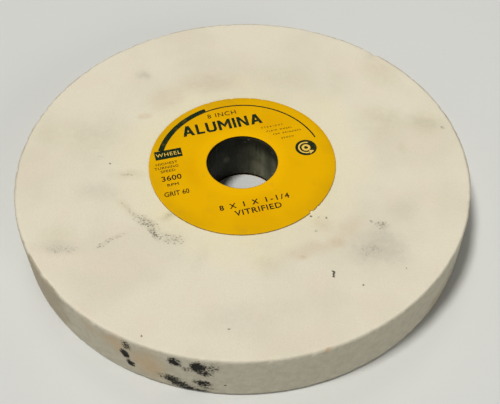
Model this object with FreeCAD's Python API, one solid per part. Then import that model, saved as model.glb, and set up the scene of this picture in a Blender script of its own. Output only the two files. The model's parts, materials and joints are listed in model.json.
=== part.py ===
"""Vitrified grinding wheel for a pedestal grinder, lying flat on its back blotter.

The wheel is a plain straight disc: one bonded abrasive body, a moulded bush that lines
its hole, and a paper blotter pasted on each side where the machine's flanges clamp it.
Millimetres, +Z along the spindle axis, origin at the centre of the back blotter's outer
face. Everything is a ring about the Z axis.
"""
import FreeCAD, Part
import math
import os

INCH = 25.4

# Abrasive body
WHEEL_DIAMETER = 8 * INCH
WHEEL_THICKNESS = 1 * INCH
ARRIS_RADIUS = 1.2          # the grinding face meets each side in a rounded arris
MOULDED_HOLE_CHAMFER = 0.4  # keeps the hole's edge from flaking under the bush

# Bush that lines the hole
BORE_DIAMETER = 1.25 * INCH
BUSH_WALL = INCH / 8
BUSH_RECESS = 0.4           # the bush stands back from each side, so flanges never touch it
BORE_CHAMFER = 0.5          # lead-in for the spindle

# Paper blotters and the paste that holds them
BLOTTER_DIAMETER = 84.0
BLOTTER_THICKNESS = 0.5
BLOTTER_HOLE_CLEARANCE = 0.2   # radial, so the paper never rubs on the spindle
PASTE_THICKNESS = 0.1
PASTE_MARGIN = 0.5             # the paste stops short of the paper's inner and outer edges

OUTPUT_FOLDER = "parts"
AXIS = FreeCAD.Vector(0, 0, 1)
ORIGIN = FreeCAD.Vector(0, 0, 0)

# Levels of the stack, from the back blotter's outer face upwards
BACK_PASTE_LEVEL = BLOTTER_THICKNESS
WHEEL_LEVEL = BACK_PASTE_LEVEL + PASTE_THICKNESS
FRONT_PASTE_LEVEL = WHEEL_LEVEL + WHEEL_THICKNESS
FRONT_BLOTTER_LEVEL = FRONT_PASTE_LEVEL + PASTE_THICKNESS

BORE_RADIUS = BORE_DIAMETER / 2
BUSH_RADIUS = BORE_RADIUS + BUSH_WALL
BLOTTER_HOLE_RADIUS = BORE_RADIUS + BLOTTER_HOLE_CLEARANCE


def ring(inner_radius, outer_radius, level, thickness):
    """A flat ring about the Z axis, standing on the given level."""
    base = FreeCAD.Vector(0, 0, level)
    outside = Part.makeCylinder(outer_radius, thickness, base, AXIS)
    inside = Part.makeCylinder(inner_radius, thickness, base, AXIS)
    return outside.cut(inside)


def circular_edges(solid, radius):
    """The edges of a ring that run right round it at one radius."""
    def at_radius(edge):
        return isinstance(edge.Curve, Part.Circle) and math.isclose(edge.Curve.Radius, radius)
    return [edge for edge in solid.Edges if at_radius(edge)]


def abrasive_wheel():
    """The bonded grain body, with rounded arrises and a chamfered moulded hole."""
    body = ring(BUSH_RADIUS, WHEEL_DIAMETER / 2, WHEEL_LEVEL, WHEEL_THICKNESS)
    body = body.makeFillet(ARRIS_RADIUS, circular_edges(body, WHEEL_DIAMETER / 2))
    return body.makeChamfer(MOULDED_HOLE_CHAMFER, circular_edges(body, BUSH_RADIUS))


def arbor_bush():
    """The plain sleeve moulded into the hole, chamfered at both mouths of its bore."""
    length = WHEEL_THICKNESS - 2 * BUSH_RECESS
    sleeve = ring(BORE_RADIUS, BUSH_RADIUS, WHEEL_LEVEL + BUSH_RECESS, length)
    return sleeve.makeChamfer(BORE_CHAMFER, circular_edges(sleeve, BORE_RADIUS))


def blotter(level):
    """A compressible paper ring that spreads the flange's grip."""
    return ring(BLOTTER_HOLE_RADIUS, BLOTTER_DIAMETER / 2, level, BLOTTER_THICKNESS)


def paste_film(level):
    """The dry paste between a blotter and the body, which never reaches over the bush."""
    inner_radius = BUSH_RADIUS + MOULDED_HOLE_CHAMFER
    outer_radius = BLOTTER_DIAMETER / 2 - PASTE_MARGIN
    return ring(inner_radius, outer_radius, level, PASTE_THICKNESS)


def build():
    """Every piece of the wheel under its node name."""
    return {
        "abrasive_wheel": abrasive_wheel(),
        "arbor_bush": arbor_bush(),
        "front_blotter": blotter(FRONT_BLOTTER_LEVEL),
        "front_paste_film": paste_film(FRONT_PASTE_LEVEL),
        "back_blotter": blotter(0),
        "back_paste_film": paste_film(BACK_PASTE_LEVEL),
    }


def main():
    """Write one STEP file for each piece."""
    os.makedirs(OUTPUT_FOLDER, exist_ok=True)
    for node, solid in build().items():
        solid.exportStep(os.path.join(OUTPUT_FOLDER, node + ".step"))


main()
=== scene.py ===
"""Scene of a vitrified grinding wheel lying flat on its back blotter.

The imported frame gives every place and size. The abrasive body, the bush in its hole and the
two paper blotters are rebuilt as detailed meshes round the same axis, the print is laid on
the blotters as thin ink, and every finish is worked out from the position on the piece.
"""
import json
import logging
import math
from dataclasses import dataclass
from enum import Enum

import bpy
import numpy as np
from mathutils import Matrix, Vector, noise


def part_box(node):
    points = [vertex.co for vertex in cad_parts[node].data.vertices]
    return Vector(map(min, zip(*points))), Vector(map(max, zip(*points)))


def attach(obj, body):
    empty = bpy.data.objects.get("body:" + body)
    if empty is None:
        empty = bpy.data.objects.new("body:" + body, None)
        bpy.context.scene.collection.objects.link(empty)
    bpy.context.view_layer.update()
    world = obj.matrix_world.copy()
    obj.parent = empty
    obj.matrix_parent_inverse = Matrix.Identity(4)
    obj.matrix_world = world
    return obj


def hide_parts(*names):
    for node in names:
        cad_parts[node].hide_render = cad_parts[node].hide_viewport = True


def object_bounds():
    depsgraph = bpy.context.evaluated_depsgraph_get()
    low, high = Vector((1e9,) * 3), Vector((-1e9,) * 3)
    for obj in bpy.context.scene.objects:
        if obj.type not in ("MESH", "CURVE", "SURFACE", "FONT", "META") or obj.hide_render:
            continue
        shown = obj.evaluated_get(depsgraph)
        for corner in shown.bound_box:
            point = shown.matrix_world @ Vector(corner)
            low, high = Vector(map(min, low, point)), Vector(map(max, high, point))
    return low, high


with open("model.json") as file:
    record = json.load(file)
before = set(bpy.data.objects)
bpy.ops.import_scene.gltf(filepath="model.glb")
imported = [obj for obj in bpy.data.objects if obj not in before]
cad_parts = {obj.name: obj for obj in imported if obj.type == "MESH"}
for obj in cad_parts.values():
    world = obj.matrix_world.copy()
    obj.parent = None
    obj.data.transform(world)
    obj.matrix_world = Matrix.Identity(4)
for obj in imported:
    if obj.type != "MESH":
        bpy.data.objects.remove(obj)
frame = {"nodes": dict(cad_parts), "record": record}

CAD_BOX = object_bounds()
MOUNTS = {mount["name"]: mount for mount in frame["record"]["mounts"]}
MM = 0.001
BORE_RADIUS = MOUNTS["bore"]["dims"]["r_mm"] * MM
PAPER_HOLE_RADIUS = BORE_RADIUS + 0.2 * MM
FULL_TURN = 360
BODY = "root"

log = logging.getLogger("grinding_wheel")


# ---------------------------------------------------------------- shader expressions

def srgb(red: int, green: int, blue: int) -> tuple[float, float, float, float]:
    """Turn a display colour, 0 to 255 a channel, into the linear colour that shaders use.

    Args:
        red: Red channel.
        green: Green channel.
        blue: Blue channel.

    Returns:
        Linear red, green, blue and an alpha of 1.
    """
    def linear(channel: int) -> float:
        """Undo the display curve for one channel."""
        share = channel / 255
        return share / 12.92 if share <= 0.04045 else ((share + 0.055) / 1.055) ** 2.4
    return linear(red), linear(green), linear(blue), 1.0


class Wire:
    """A shader socket that takes part in Python arithmetic on plain values."""

    def __init__(self, nodes: "Nodes", socket: bpy.types.NodeSocket | None) -> None:
        """Wrap one output socket of a tree."""
        self.nodes = nodes
        self.socket = socket

    def __add__(self, other: "Wire | float") -> "Wire":
        """Sum with another value."""
        return self.nodes.maths("ADD", self, other)

    def __sub__(self, other: "Wire | float") -> "Wire":
        """Difference from another value."""
        return self.nodes.maths("SUBTRACT", self, other)

    def __rsub__(self, other: float) -> "Wire":
        """Take this value from a number."""
        return self.nodes.maths("SUBTRACT", other, self)

    def __mul__(self, other: "Wire | float") -> "Wire":
        """Product with another value."""
        return self.nodes.maths("MULTIPLY", self, other)

    __radd__ = __add__
    __rmul__ = __mul__

    def between(self, low: float, high: float) -> "Wire":
        """Rise smoothly from 0 at low to 1 at high, or fall where low is above high."""
        inputs = {"Value": self, "From Min": low, "From Max": high}
        return self.nodes.node("ShaderNodeMapRange", {"interpolation_type": "SMOOTHSTEP"}, inputs)

    def onto(self, low: float, high: float) -> "Wire":
        """Spread 0 to 1 evenly over low to high."""
        return self * (high - low) + low

    def capped(self) -> "Wire":
        """Hold the value within 0 and 1."""
        return self.nodes.node("ShaderNodeClamp", {}, {"Value": self})


Value = Wire | float | tuple
Tint = tuple[float, float, float, float]
Span = tuple[float, float]
Triple = tuple[float, float, float]
Finish = bpy.types.Material | list[bpy.types.Material]


class Nodes:
    """A node tree, built from expressions."""

    def __init__(self, tree: bpy.types.NodeTree) -> None:
        """Start with the tree empty."""
        self.tree = tree
        self.tree.nodes.clear()

    def node(self, kind: str, settings: dict[str, str], inputs: dict[str, Value] | tuple[Value, ...],
             output: str | None = None) -> Wire:
        """Add one node.

        Args:
            kind: Blender's node type.
            settings: Properties of the node, set before its sockets.
            inputs: Values or wires, by the socket's name or in the sockets' order.
            output: Name of the output wanted, or the first one in use.

        Returns:
            The output as a wire.
        """
        made = self.tree.nodes.new(kind)
        for name, value in settings.items():
            setattr(made, name, value)
        in_use = [socket for socket in made.inputs if socket.enabled]
        if isinstance(inputs, dict):
            named = {name: next(socket for socket in in_use if socket.name == name) for name in inputs}
            pairs = [(named[name], value) for name, value in inputs.items()]
        else:
            pairs = zip(in_use, inputs)
        for socket, value in pairs:
            if isinstance(value, Wire):
                self.tree.links.new(value.socket, socket)
            else:
                socket.default_value = value
        given = (socket for socket in made.outputs if socket.enabled and output in (None, socket.name))
        return Wire(self, next(given, None))

    def maths(self, operation: str, *values: Value) -> Wire:
        """Combine plain values in a Math node."""
        return self.node("ShaderNodeMath", {"operation": operation}, values)

    def vector(self, operation: str, *values: Value) -> Wire:
        """Combine vectors in a Vector Math node."""
        return self.node("ShaderNodeVectorMath", {"operation": operation}, values)


class Shader(Nodes):
    """The node tree of one material."""

    def __init__(self, name: str) -> None:
        """Start an empty material.

        Args:
            name: Name of the material.
        """
        self.material = bpy.data.materials.new(name)
        self.material.use_nodes = True
        super().__init__(self.material.node_tree)
        self.place = self.node("ShaderNodeTexCoord", {}, {}, "Object")

    def mix(self, factor: Value, under: Value, over: Value, blend: str = "MIX") -> Wire:
        """Lay one colour, or a value that acts as a grey, over another, as far as factor says."""
        settings = {"data_type": "RGBA", "blend_type": blend}
        return self.node("ShaderNodeMix", settings, {"Factor": factor, "A": under, "B": over})

    def noise(self, size: float, detail: float = 2.0, at: Wire | None = None) -> Wire:
        """Soft noise whose patches are about size metres across."""
        inputs = {"Vector": at or self.place, "Scale": 1 / size, "Detail": detail}
        return self.node("ShaderNodeTexNoise", {}, inputs)

    def cells(self, size: float) -> Wire:
        """Distance from the middle of crystal-like cells about size metres across."""
        return self.node("ShaderNodeTexVoronoi", {}, {"Vector": self.place, "Scale": 1 / size})

    def stretched(self, scale: Triple) -> Wire:
        """The position, scaled along each axis so that noise on it is drawn out."""
        return self.vector("MULTIPLY", self.place, scale)

    def radius(self) -> Wire:
        """Distance from the spindle axis."""
        return self.vector("LENGTH", self.stretched((1, 1, 0)))

    def along(self, axis: str) -> Wire:
        """The position along the axis X, Y or Z."""
        return self.node("ShaderNodeSeparateXYZ", {}, {"Vector": self.place}, axis)

    def wander(self, size: float, reach: float) -> Wire:
        """The position, pushed about so that outlines turn ragged.

        Args:
            size: Size of the bays in an outline, in metres.
            reach: How far a point is pushed at most, in metres.

        Returns:
            The pushed position.
        """
        inputs = {"Vector": self.place, "Scale": 1 / size, "Detail": 3.0}
        swirl = self.node("ShaderNodeTexNoise", {}, inputs, "Color")
        centred = self.vector("SUBTRACT", swirl, (0.5, 0.5, 0.5))
        return self.vector("ADD", self.place, self.vector("MULTIPLY", centred, (reach * 2,) * 3))

    def bump(self, height: Wire, depth: float, strength: float) -> Wire:
        """Surface normal of a relief that is depth metres deep, at a strength of 0 to 1."""
        inputs = {"Height": height, "Distance": depth, "Strength": strength}
        return self.node("ShaderNodeBump", {}, inputs)

    def finish(self, colour: Value, roughness: Value, normal: Wire,
               gloss: float = 0.5) -> bpy.types.Material:
        """Close the tree with its surface shader.

        Args:
            colour: Base colour.
            roughness: Roughness, 0 to 1.
            normal: Normal of the surface relief.
            gloss: Level of the reflection, the same all over.

        Returns:
            The finished material.
        """
        inputs = {"Base Color": colour, "Roughness": roughness, "Normal": normal,
                  "Specular IOR Level": gloss}
        surface = self.node("ShaderNodeBsdfPrincipled", {}, inputs)
        self.node("ShaderNodeOutputMaterial", {}, {"Surface": surface})
        return self.material


@dataclass(frozen=True)
class Patches:
    """Soft patches: their size in millimetres, their detail and where they start and end."""

    size: float
    detail: float
    low: float
    high: float

    def over(self, shader: Shader) -> Wire:
        """How strong the patches are over the surface, 0 to 1."""
        return shader.noise(self.size * MM, self.detail).between(self.low, self.high)


# ---------------------------------------------------------------- wear marks

class Stain(Enum):
    """What a mark is made of: its colour, and how far it hides the face and the rim."""

    SOOT = (srgb(18, 16, 11), 0.82, 0.995)
    OLIVE = (srgb(188, 178, 138), 0.36, 0.36)
    TAN = (srgb(198, 170, 130), 0.45, 0.75)
    GREY = (srgb(176, 171, 156), 0.42, 0.42)
    # Painted shade, darkening the rim where shade falls.
    DUST = (srgb(166, 153, 128), 0.7, 0.7)

    def over(self, shader: Shader, colour: Wire, cover: Wire, on_rim: bool) -> Wire:
        """Lay the stain over a colour, as far as it covers and hides the surface."""
        tone, on_face_share, on_rim_share = self.value
        return shader.mix(cover * (on_rim_share if on_rim else on_face_share), colour, tone)


Table = dict[Stain, tuple[tuple[float, ...], ...]]

# On the upper face: x, y, half length, half width in millimetres, turn in degrees, strength
FACE_MARKS: Table = {
    Stain.SOOT: (
        (-41.4, -33.4, 11.5, 5, -36, 0.46), (-37.9, -39.8, 6.3, 2.1, -60, 0.45),
        (-30.5, -42.5, 11, 5.8, -16, 0.36), (-50, -25.4, 8.6, 1.7, -51, 0.26),
        (-58.5, -44.8, 6.5, 2.6, 36, 0.32), (-52.1, -40.4, 7, 2.3, 29, 0.32),
        (-74.9, -46.8, 12.5, 4.2, -3, 0.28), (-31.6, -30.1, 3.6, 1.3, 34, 0.27),
        (-51.1, -6, 5.8, 1.3, -6, 0.36), (-59.5, 1, 0.8, 0.9, -2, 0.9), (-64.2, 5.7, 3.8, 1, -2, 0.26),
        (93.9, 19.2, 1.6, 1.9, -18, 0.5), (58, -38, 5.4, 3.8, -2, 0.5),
        (53.9, -35.7, 1.5, 1.5, -26, 0.5), (52.1, -50.8, 9.7, 6.1, 13, 0.27),
        (35.7, -62.8, 2.5, 1, 85, 1), (35.4, -61.3, 1.2, 0.8, -38, 0.8),
        (28.8, -32.5, 0.9, 1, -2, 0.62), (32.1, -33.1, 0.7, 0.9, -2, 0.5),
        (35.1, -33.5, 0.9, 1, -2, 0.7), (30.5, -40.3, 1, 1.1, -2, 0.5),
        (64.9, -60.5, 0.8, 0.9, -2, 0.6), (47, -68.2, 0.8, 0.8, -2, 0.5),
        (-6.6, -87, 0.8, 0.8, 0, 0.85), (-39.6, -89, 0.7, 0.7, 0, 0.7),
    ),
    Stain.GREY: (
        (-77.2, -46.3, 16.9, 5.5, -4, 0.5), (-70.7, 20, 18, 10, -22, 0.18),
        (-48.1, 61, 6.5, 4.5, -42, 0.85), (-64.3, -15.6, 15.1, 8, -14, 0.35),
        (-17.9, -53.3, 10.8, 4.6, 66, 0.3), (66.6, 71.8, 6.1, 4.5, -2, 0.3),
        (86.9, 22.3, 8.6, 5.1, -16, 0.35), (53.9, -50.5, 17, 14.3, 7, 0.85),
        (67.2, -30.5, 10, 10.1, -20, 0.4), (61.1, -48.5, 17.6, 11.5, -62, 0.45),
        (0, -82, 30, 12.2, 4, 0.35),
    ),
    Stain.OLIVE: (
        (-50, -25.4, 11.9, 3.5, -51, 0.6), (-78.1, -39.6, 12.2, 10, 8, 0.5),
        (-31.5, -30, 7.4, 3.5, 35, 0.9), (-50.4, -5.8, 11.4, 5, -3, 0.6), (-70.8, 18, 32, 20, -23, 0.5),
        (-18.5, 55.5, 26, 15, 7, 0.32), (-91.9, 21.5, 10.4, 10.9, 37, 0.35), (70, 60, 18, 15, -63, 0.6),
        (49.3, 52.5, 12, 15.7, -2, 0.4), (67.4, 28.2, 14, 8, -7, 0.42),
        (63.1, 23.1, 18.9, 19, -12, 0.45), (85.9, 22.4, 13, 12, -2, 0.72), (72.9, 7.5, 6, 3.5, 87, 0.5),
        (10.2, -57.4, 10.6, 7, -7, 0.5), (20.9, 57.7, 24.5, 12.3, -23, 0.4),
        (84.8, -30.2, 15.9, 6.3, 85, 0.25),
    ),
    Stain.TAN: (
        (-46.2, 31.8, 5.2, 3.9, -2, 0.7), (-36, 43.1, 13.6, 11.6, -2, 0.5), (-16, 54, 26, 10, 4, 0.36),
        (32.7, -36.8, 8, 5.4, -46, 0.45), (27.3, -50.3, 16, 6, 11, 0.55),
        (24.1, -53.9, 2.8, 2, -54, 0.6), (37.8, -46.1, 7, 4, -34, 0.6), (44.1, -39.4, 14, 7, 45, 0.5),
    ),
}

# On the rim: bearing in degrees, then height, half length, half height in millimetres, strength
RIM_MARKS: Table = {
    Stain.SOOT: (
        (-116.8, 21.5, 3.3, 5.1, 0.86), (-117.9, 14.4, 3.1, 4.1, 1.57), (-117.3, 11, 2.3, 3.8, 0.35),
        (-116.6, 7.8, 2.8, 3.7, 1.24), (-105.6, 20.8, 4.2, 5.1, 1.4), (-100.6, 20, 4.3, 5.2, 1.5),
        (-99, 15.5, 4.6, 2.8, 0.76), (-97.6, 20.3, 6.1, 5.6, 0.6), (-103, 17, 3.8, 3.1, 0.54),
        (-108.4, 7.4, 7.2, 4.1, 0.5), (-106.2, 5.4, 5.6, 5.6, 0.66), (-103.8, 2.8, 7.2, 4.4, 0.62),
        (-101.4, 1, 9, 2.8, 1.05), (-99.9, 7.9, 5.6, 3.1, 1.24), (-98.9, 4.6, 6.4, 3.8, 0.54),
        (-94.9, 7.5, 1.3, 1.2, 0.97), (-31, 12, 10, 9, 0.34), (-99.5, 14, 9, 9, 0.24),
        (-105, 6, 10, 7, 0.26), (-117, 14, 4.5, 11, 0.18),
    ),
    Stain.TAN: (
        (-112, 13, 12, 16, 0.95), (-120, 19, 10, 10, 0.75), (-127, 20, 9, 6, 0.45),
        (-72.2, 24, 2.2, 1.6, 0.9),
    ),
    # Painted shade: low on the front right of the rim and over the front left of the rim, where shade
    # falls.
    Stain.DUST: (
        (-146, 13, 50, 30, 1.7), (-34, 1, 44, 13, 1),
    ),
}


class Zone(Enum):
    """A part of the abrasive body, each with its own share of the stains."""

    LEFT = 0
    RIGHT = 1
    RIM = 2


@dataclass(frozen=True)
class Mark:
    """One stain on the wheel, as an ellipsoid that the surface passes through.

    The place and the half sizes are in metres and the turn is in radians about the axis.
    """

    place: Triple
    reach: Triple
    turn: float
    strength: float
    core: float = 0.1

    def mask(self, shader: Shader, at: Wire) -> Wire:
        """How strong this mark is over the surface.

        Args:
            shader: The material under construction.
            at: Position on the piece.

        Returns:
            The strength, even in the mark's core and fading to nothing at its edge.
        """
        inputs = {"Vector": at, "Location": self.place, "Rotation": (0, 0, self.turn),
                  "Scale": self.reach}
        local = shader.node("ShaderNodeMapping", {"vector_type": "TEXTURE"}, inputs)
        return shader.vector("LENGTH", local).between(1.0, self.core) * self.strength


@dataclass(frozen=True)
class Wear:
    """The stains of a used wheel and the painted shade on its rim, placed from the size of its abrasive
    body.
    """

    rim_radius: float
    base: float
    top: float
    through: float = 3 * MM
    margin: float = 1.5

    def on_face(self, x: float, y: float, along: float, across: float, turn: float,
                strength: float) -> Mark:
        """A mark on the upper face, in millimetres and degrees."""
        reach = (along * MM, across * MM, self.through)
        return Mark((x * MM, y * MM, self.top), reach, math.radians(turn), strength)

    def on_rim(self, bearing: float, height: float, along: float, tall: float,
               strength: float) -> Mark:
        """A mark on an upright wall, by its bearing in degrees and height in millimetres."""
        place = (*polar(self.rim_radius, bearing), self.base + height * MM)
        return Mark(place, (self.through, along * MM, tall * MM), math.radians(bearing), strength)

    def marks(self, zone: Zone, stain: Stain) -> list[Mark]:
        """The marks of one stain that can reach into one zone.

        Args:
            zone: The part of the body.
            stain: What the marks are made of.

        Returns:
            The marks, or an empty list where the zone has none.
        """
        if zone is Zone.RIM:
            return [self.on_rim(*row) for row in RIM_MARKS.get(stain, ())]
        side = -1 if zone is Zone.LEFT else 1
        marks = [self.on_face(*row) for row in FACE_MARKS.get(stain, ())]
        return [mark for mark in marks if mark.place[0] * side > -self.margin * max(mark.reach)]


def summed(shader: Shader, at: Wire, marks: list[Mark]) -> Wire:
    """Add up the strength of several marks, one after another to keep the shader light.

    Args:
        shader: The material under construction.
        at: Position on the piece.
        marks: The marks, of which there is at least one.

    Returns:
        The sum over the surface.
    """
    cover = marks[0].mask(shader, at)
    for mark in marks[1:]:
        cover = cover + mark.mask(shader, at)
    return cover


# ---------------------------------------------------------------- finishes

@dataclass(frozen=True)
class AbrasiveFinish:
    """White fused grain in a glass bond, soiled by handling and use, with painted shade on the back of
    the arris and on parts of the rim.
    """

    wear: Wear
    zone: Zone
    blotter_radius: float
    fresh: Tint = srgb(232, 224, 202)
    greyed: Tint = srgb(222, 214, 191)
    warm: Tint = srgb(232, 217, 196)
    yellowed: Tint = srgb(238, 229, 188)
    rim_tone: Tint = srgb(197, 191, 171)
    rim_shade: Tint = srgb(186, 180, 161)
    # grime: colour of the painted shade on the back of the arris
    grime: Tint = srgb(120, 108, 84)
    smudge: Tint = srgb(140, 130, 108)
    clouds: Patches = Patches(38, 3, 0.42, 0.68)
    clouded: float = 0.75
    warm_patches: Patches = Patches(17, 4, 0.45, 0.75)
    warmed: float = 0.45
    halo: Span = (22 * MM, 1 * MM)
    halo_patch: float = 30 * MM
    halo_reach: float = 34 * MM
    yellowing: Span = (0.38, 0.78)
    arris: Span = (1.7 * MM, 0.9 * MM)
    # The next three fields set the mottled painted shade on the back of the arris.
    arris_shade: Patches = Patches(9, 4, 0.35, 0.65)
    arris_shading: Span = (0.25, 0.65)
    shaded_half: Span = (-40 * MM, 20 * MM)
    rim: Span = (1.3 * MM, 0.3 * MM)
    mottle: Patches = Patches(3, 4, 0.35, 0.7)
    stain_edge: Span = (7 * MM, 2.6 * MM)
    stain_patch: float = 2.6 * MM
    uneven: Span = (0.3, 1.7)
    soot_edge: Span = (1.8 * MM, 0.8 * MM)
    cake: float = 1.7 * MM
    caked: Span = (0.25, 1.75)
    speck: float = 0.75 * MM
    speckled: Span = (-1.2, 1.2)
    speckled_where: Span = (0.0, 0.25)
    caught: Span = (0.30, 1.05)
    veiled: Span = (0.0, 1.1)
    veil: float = 0.6
    grain: float = 0.42 * MM
    glint: Span = (0.85, 0.15)
    sparkle: Span = (0.96, 1.02)
    crystal_height: float = 0.6
    relief: Span = (0.20 * MM, 0.45)
    roughness: Span = (0.82, 0.92)
    gloss: float = 0.3

    def make(self) -> bpy.types.Material:
        """Build the material.

        Returns:
            The finished material.
        """
        shader = Shader(f"bonded_white_grain_{self.zone.name.lower()}")
        colour = self.sooted(shader, self.stained(shader, self.clean(shader)))
        crystals = shader.cells(self.grain)
        clumps = shader.noise(self.grain * 3, 3)
        shade = crystals.between(*self.glint).onto(*self.sparkle)
        colour = shader.mix(1.0, colour, shade, "MULTIPLY")
        normal = shader.bump((1 - crystals) * self.crystal_height + clumps, *self.relief)
        return shader.finish(colour, clumps.onto(*self.roughness), normal, self.gloss)

    def clean(self, shader: Shader) -> Wire:
        """Colour of the fired body before any stain.

        Args:
            shader: The material under construction.

        Returns:
            Cloudy cream, yellower round the blotter, with painted shade on the back of the arris, or
            the worn rim.
        """
        patches = self.warm_patches.over(shader)
        colour = shader.mix(self.clouds.over(shader) * self.clouded, self.fresh, self.greyed)
        colour = shader.mix(patches * self.warmed, colour, self.warm)
        radius = shader.radius()
        start, full = self.halo
        spread = radius + (shader.noise(self.halo_patch, 3) - 0.5) * self.halo_reach
        inside = spread.between(self.blotter_radius + start, self.blotter_radius + full)
        colour = shader.mix(inside * patches.onto(*self.yellowing), colour, self.yellowed)
        # Painted shade: the arris is darkened in mottled patches over the back half, where it faces
        # away from the light.
        arris_shade = self.arris_shade.over(shader).onto(*self.arris_shading) * shader.along("Y").between(*self.shaded_half)
        colour = shader.mix(self.near_rim(radius, self.arris) * arris_shade, colour, self.grime)
        worn = shader.mix(self.mottle.over(shader), self.rim_tone, self.rim_shade)
        return shader.mix(self.near_rim(radius, self.rim), colour, worn)

    def near_rim(self, radius: Wire, inset: Span) -> Wire:
        """Rise from 0 to 1 between two distances inside the rim."""
        start, full = inset
        return radius.between(self.wear.rim_radius - start, self.wear.rim_radius - full)

    def stained(self, shader: Shader, colour: Wire) -> Wire:
        """Lay the stains other than soot, and the painted shade on the rim, over the clean body.

        Args:
            shader: The material under construction.
            colour: Colour of the clean body.

        Returns:
            The stained colour.
        """
        at = shader.wander(*self.stain_edge)
        uneven = shader.noise(self.stain_patch, 3).onto(*self.uneven)
        for stain in (Stain.OLIVE, Stain.TAN, Stain.GREY, Stain.DUST):
            marks = self.wear.marks(self.zone, stain)
            if marks:
                cover = (summed(shader, at, marks).capped() * uneven).capped()
                colour = stain.over(shader, colour, cover, self.zone is Zone.RIM)
        return colour

    def sooted(self, shader: Shader, colour: Wire) -> Wire:
        """Lay on the soot: a brown veil, and black where it caught in the grain.

        Args:
            shader: The material under construction.
            colour: Colour under the soot.

        Returns:
            The colour with soot, which is caked on the rim and rubbed off the face.
        """
        at = shader.wander(*self.soot_edge)
        caked = shader.noise(self.cake, 2).onto(*self.caked)
        soot = summed(shader, at, self.wear.marks(self.zone, Stain.SOOT)) * caked
        colour = shader.mix(soot.between(*self.veiled) * self.veil, colour, self.smudge)
        specks = shader.noise(self.speck, 2).onto(*self.speckled) * soot.between(*self.speckled_where)
        caught = (soot + specks).between(*self.caught)
        return Stain.SOOT.over(shader, colour, caught, self.zone is Zone.RIM)


@dataclass(frozen=True)
class PaperFinish:
    """Yellow blotter paper, grey and fibrous where it is cut, with painted shade round the hole."""

    outer_radius: float
    hole_radius: float
    pasted_levels: Span
    face: Tint = srgb(236, 179, 0)
    deep: Tint = srgb(227, 168, 0)
    bright: Tint = srgb(246, 186, 0)
    faded: Tint = srgb(215, 166, 6)
    cut: Tint = srgb(120, 106, 60)
    # Colour of the painted shade on the hole's cut edge and on the pasted side round the hole.
    painted_hole_shade: Tint = srgb(50, 45, 28)
    clouds: Patches = Patches(21, 3, 0.4, 0.7)
    deepened: float = 0.7
    # The next two fields set how the paper brightens in a ring round the hole.
    brightened_near_hole: Span = (8 * MM, 1 * MM)
    brightened_share: float = 0.8
    handled: float = 9 * MM
    handled_share: Span = (0.3, 0.8)
    grime: Patches = Patches(6, 4, 0.60, 0.78)
    grimed: float = 0.12
    trimmed: Span = (0.12 * MM, 0.02 * MM)
    trimmed_share: float = 0.9
    # The next two fields set the painted shade round the hole.
    sooted: Span = (2.4 * MM, 1.2 * MM)
    hole_shade_share: float = 0.95
    seam: float = 0.1 * MM
    fibre: float = 0.35 * MM
    fibre_run: Triple = (1.0, 2.6, 1.0)
    fibre_shade: Span = (0.94, 1.06)
    crease: float = 1.6 * MM
    crease_height: float = 1.5
    relief: Span = (0.05 * MM, 0.5)
    roughness: Span = (0.6, 0.75)
    gloss: float = 0.03

    def make(self) -> bpy.types.Material:
        """Build the material.

        Returns:
            The finished material.
        """
        shader = Shader("yellow_blotter_paper")
        clouds = self.clouds.over(shader)
        fibres = shader.noise(self.fibre, 3, shader.stretched(self.fibre_run))
        radius = shader.radius()
        colour = shader.mix(clouds * self.deepened, self.face, self.deep)
        # Brighter in a ring round the hole.
        colour = shader.mix(self.near_hole(radius, self.brightened_near_hole) * self.brightened_share, colour, self.bright)
        outside = radius.between(self.outer_radius - self.handled, self.outer_radius)
        colour = shader.mix(outside * clouds.onto(*self.handled_share), colour, self.faded)
        colour = shader.mix(self.grime.over(shader) * self.grimed, colour, self.cut)
        colour = shader.mix(1.0, colour, fibres.onto(*self.fibre_shade), "MULTIPLY")
        colour = self.edged(shader, colour, radius)
        creases = shader.noise(self.crease, 3) * self.crease_height
        normal = shader.bump(fibres + creases, *self.relief)
        return shader.finish(colour, fibres.onto(*self.roughness), normal, self.gloss)

    def edged(self, shader: Shader, colour: Wire, radius: Wire) -> Wire:
        """Darken the cut outer edge, and paint shade on the hole's cut edge and on the pasted side
        where it shows inside the hole.

        Args:
            shader: The material under construction.
            colour: Colour of the paper.
            radius: Distance from the axis.

        Returns:
            The colour with its edges.
        """
        start, full = self.trimmed
        outside = radius.between(self.outer_radius - start, self.outer_radius - full)
        colour = shader.mix(outside * self.trimmed_share, colour, self.cut)
        low, high = self.pasted_levels
        level = shader.along("Z")
        buried = level.between(low - self.seam, low) * level.between(high + self.seam, high)
        # Painted shade: near black on the hole's cut edge and on the pasted side round the hole, deep
        # in the bore.
        for painted_hole_shade in (self.near_hole(radius, self.trimmed),
                          self.near_hole(radius, self.sooted) * buried):
            colour = shader.mix(painted_hole_shade * self.hole_shade_share, colour, self.painted_hole_shade)
        return colour

    def near_hole(self, radius: Wire, gap: Span) -> Wire:
        """Rise from 0 to 1 between two distances outside the hole."""
        start, full = gap
        return radius.between(self.hole_radius + start, self.hole_radius + full)


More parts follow.
